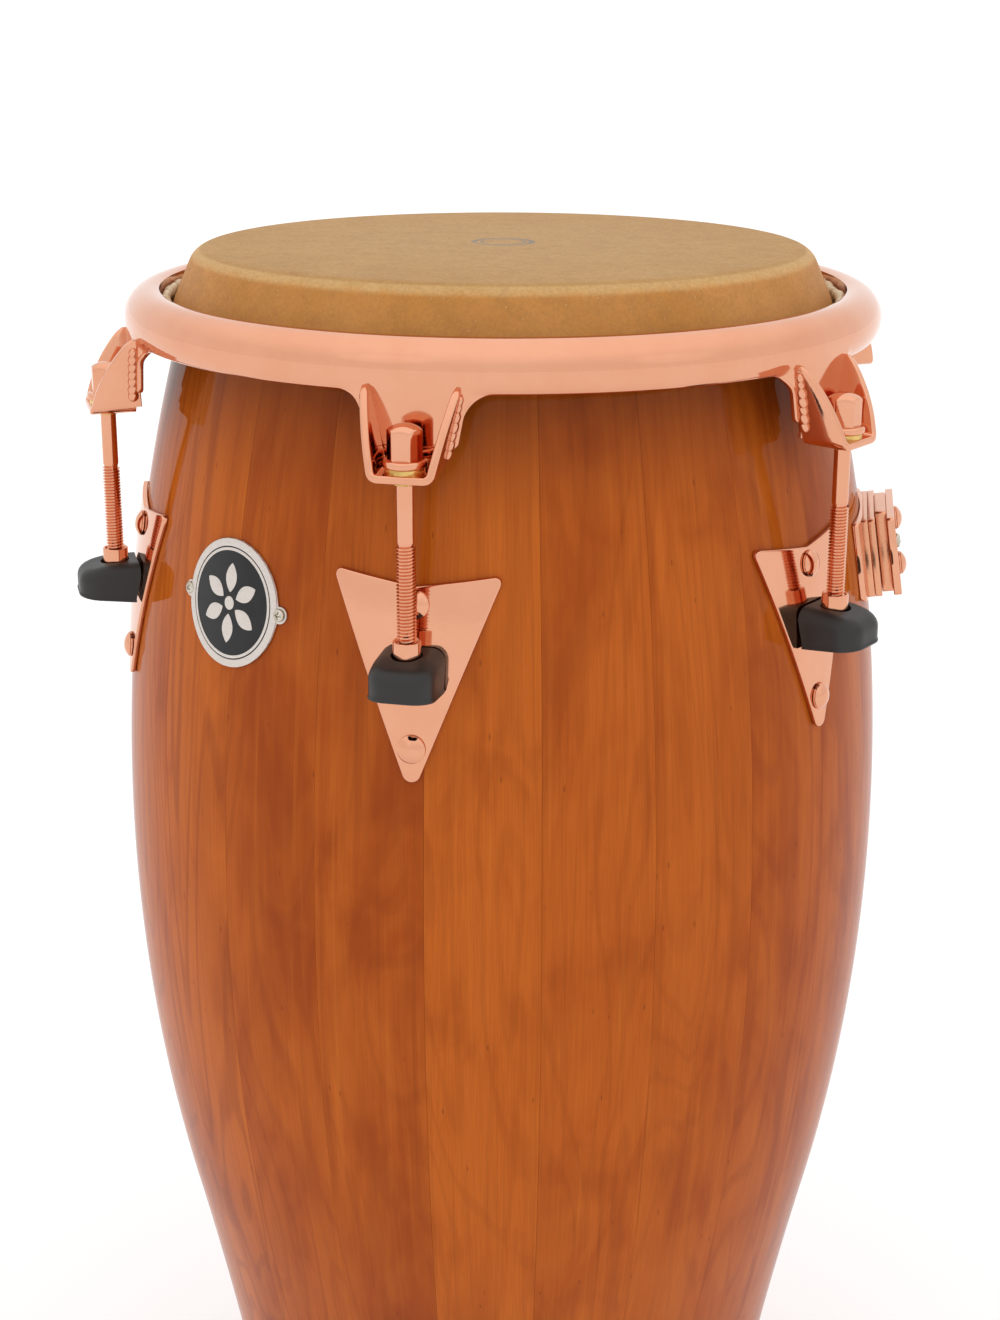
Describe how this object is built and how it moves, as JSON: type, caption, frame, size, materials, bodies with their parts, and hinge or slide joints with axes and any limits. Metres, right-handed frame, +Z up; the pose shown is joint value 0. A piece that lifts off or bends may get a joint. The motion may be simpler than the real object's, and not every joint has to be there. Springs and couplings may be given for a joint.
{
  "type": "conga drum",
  "caption": "Tall barrel-shaped hand drum of glued staves, with a tensioned head, a rounded rim on hooks and tuning lugs, and a bracket for a stand.",
  "frame": {"origin": "on the floor, in the middle of the foot", "axes": "+Z up along the drum's axis; -Y out through the middle of the badge"},
  "size_m": [0.42, 0.3778, 0.762],
  "materials": {
    "lacquered_wood": "high gloss lacquer",
    "head_skin": "matte",
    "copper_plate": "polished copper plating on steel",
    "brass": "satin",
    "zinc_steel": "zinc plated",
    "nickel": "polished",
    "boot_rubber": "satin",
    "badge_metal": "satin with black enamel"
  },
  "bodies": {
    "shell": {"stave_pair_1": "lacquered_wood", "stave_pair_2": "lacquered_wood", "stave_pair_3": "lacquered_wood", "stave_pair_4": "lacquered_wood", "stave_pair_5": "lacquered_wood", "stave_pair_6": "lacquered_wood", "stave_pair_7": "lacquered_wood", "stave_pair_8": "lacquered_wood", "stave_pair_9": "lacquered_wood", "stave_pair_10": "lacquered_wood", "stave_pair_11": "lacquered_wood", "stave_pair_12": "lacquered_wood", "side_plate_1": "copper_plate", "side_plate_2": "copper_plate", "side_plate_3": "copper_plate", "side_plate_4": "copper_plate", "side_plate_5": "copper_plate", "side_plate_6": "copper_plate", "lug_receiver_1": "copper_plate", "lug_receiver_2": "copper_plate", "lug_receiver_3": "copper_plate", "lug_receiver_4": "copper_plate", "lug_receiver_5": "copper_plate", "lug_receiver_6": "copper_plate", "bumper_boot_1": "boot_rubber", "bumper_boot_2": "boot_rubber", "bumper_boot_3": "boot_rubber", "bumper_boot_4": "boot_rubber", "bumper_boot_5": "boot_rubber", "bumper_boot_6": "boot_rubber", "head_membrane": "head_skin", "head_collar": "head_skin", "plate_bolts": "copper_plate", "inner_washers": "zinc_steel", "inner_nuts": "zinc_steel", "badge_plate": "badge_metal", "badge_screws": "nickel", "bracket_saddle": "copper_plate", "bracket_spacer": "copper_plate", "bracket_cover": "copper_plate", "bracket_bolts": "copper_plate", "bracket_screw": "nickel", "bottom_band": "copper_plate", "foot_ring": "boot_rubber"},
    "crown": {"rim": "copper_plate", "flesh_hoop": "zinc_steel", "hook_bushings": "brass", "lug_washers": "brass", "lug_hook_1": "copper_plate", "lug_hook_2": "copper_plate", "lug_hook_3": "copper_plate", "lug_hook_4": "copper_plate", "lug_hook_5": "copper_plate", "lug_hook_6": "copper_plate"},
    "lug_1": {"tuning_lug_1": "copper_plate"},
    "lug_2": {"tuning_lug_2": "copper_plate"},
    "lug_3": {"tuning_lug_3": "copper_plate"},
    "lug_4": {"tuning_lug_4": "copper_plate"},
    "lug_5": {"tuning_lug_5": "copper_plate"},
    "lug_6": {"tuning_lug_6": "copper_plate"}
  },
  "joints": [
    {"name": "crown_slide", "type": "slide", "parent": "shell", "child": "crown", "axis": [0, 0, 1], "range_m": [-0.005, 0.003], "deforming": ["head_collar"]},
    {"name": "lug_1_turn", "type": "hinge", "parent": "crown", "child": "lug_1", "pos_m": [0.096, -0.16628, 0.69], "axis": [0, 0, 1], "range_deg": [-1276, 766]},
    {"name": "lug_2_turn", "type": "hinge", "parent": "crown", "child": "lug_2", "pos_m": [0.192, 0, 0.69], "axis": [0, 0, 1], "range_deg": [-1276, 766]},
    {"name": "lug_3_turn", "type": "hinge", "parent": "crown", "child": "lug_3", "pos_m": [0.096, 0.16628, 0.69], "axis": [0, 0, 1], "range_deg": [-1276, 766]},
    {"name": "lug_4_turn", "type": "hinge", "parent": "crown", "child": "lug_4", "pos_m": [-0.096, 0.16628, 0.69], "axis": [0, 0, 1], "range_deg": [-1276, 766]},
    {"name": "lug_5_turn", "type": "hinge", "parent": "crown", "child": "lug_5", "pos_m": [-0.192, 0, 0.69], "axis": [0, 0, 1], "range_deg": [-1276, 766]},
    {"name": "lug_6_turn", "type": "hinge", "parent": "crown", "child": "lug_6", "pos_m": [-0.096, -0.16628, 0.69], "axis": [0, 0, 1], "range_deg": [-1276, 766]}
  ],
  "couplings": [
    {"joint": "lug_1_turn", "follows": "crown_slide", "rad_per_m": 4452.7},
    {"joint": "lug_2_turn", "follows": "crown_slide", "rad_per_m": 4452.7},
    {"joint": "lug_3_turn", "follows": "crown_slide", "rad_per_m": 4452.7},
    {"joint": "lug_4_turn", "follows": "crown_slide", "rad_per_m": 4452.7},
    {"joint": "lug_5_turn", "follows": "crown_slide", "rad_per_m": 4452.7},
    {"joint": "lug_6_turn", "follows": "crown_slide", "rad_per_m": 4452.7}
  ]
}
